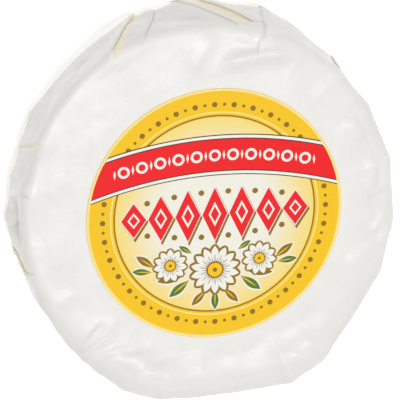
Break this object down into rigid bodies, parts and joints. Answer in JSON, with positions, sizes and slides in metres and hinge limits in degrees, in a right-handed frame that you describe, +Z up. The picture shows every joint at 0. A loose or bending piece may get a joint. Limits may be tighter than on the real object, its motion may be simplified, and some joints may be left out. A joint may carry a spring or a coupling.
{
  "type": "wrapped brie wheel",
  "caption": "Small round soft cheese shut in a sheet of pleated white waxed paper, with a thin round printed label on its flat face.",
  "frame": {"origin": "on the resting plane, under the middle of the pack's outline", "axes": "+Z up out of the labelled face, +X to the label's right, +Y to the label's top"},
  "size_m": [0.1316, 0.1374, 0.0247],
  "materials": {
    "waxed_paper": "white waxed paper, satin, with soft folds and fine pin holes",
    "label_paper": "coated label paper, printed in yellow, cream, red and gold brown"
  },
  "bodies": {
    "root": {"wrapped_cheese": "waxed_paper", "round_label": "label_paper"}
  },
  "joints": []
}
